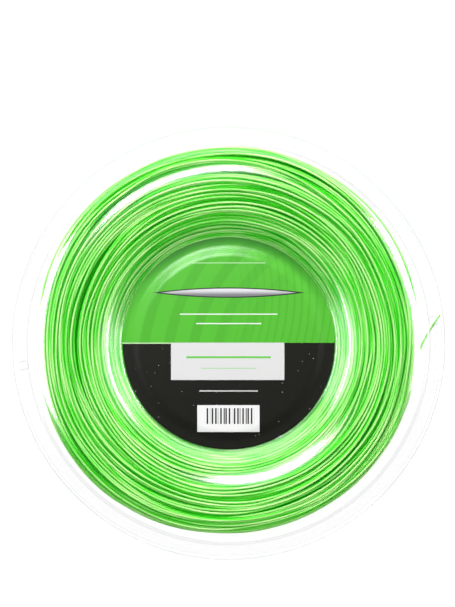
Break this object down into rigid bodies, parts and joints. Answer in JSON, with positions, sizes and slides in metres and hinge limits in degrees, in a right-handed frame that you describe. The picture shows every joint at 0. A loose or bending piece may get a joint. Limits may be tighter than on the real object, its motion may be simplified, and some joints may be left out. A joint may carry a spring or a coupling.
{
  "type": "string reel",
  "caption": "Clear two-part flanged reel wound with racket string, with a printed label on each side of its hub and the string's end threaded through the rim.",
  "frame": {"origin": "on the reel's axis, at the level of the rear crest that it rests on", "axes": "+Z along the reel's axis towards the front label, +Y towards the label's top, +X to the right of the label"},
  "size_m": [0.27, 0.27, 0.025],
  "materials": {
    "clear_plastic": "clear, glossy",
    "front_print": "glossy printed label, green over near-black",
    "rear_print": "glossy printed label",
    "string": "smooth neon green co-polymer"
  },
  "bodies": {
    "rear_half": {"rear_shell": "clear_plastic", "rear_label": "rear_print", "string_core": "string", "string_winding": "string", "string_tail": "string"},
    "front_half": {"front_shell": "clear_plastic", "front_label": "front_print"}
  },
  "joints": [
    {"name": "front_half_pull", "type": "slide", "parent": "rear_half", "child": "front_half", "axis": [0, 0, 1], "range_m": [0, 0.03], "deforming": ["string_tail"]}
  ]
}
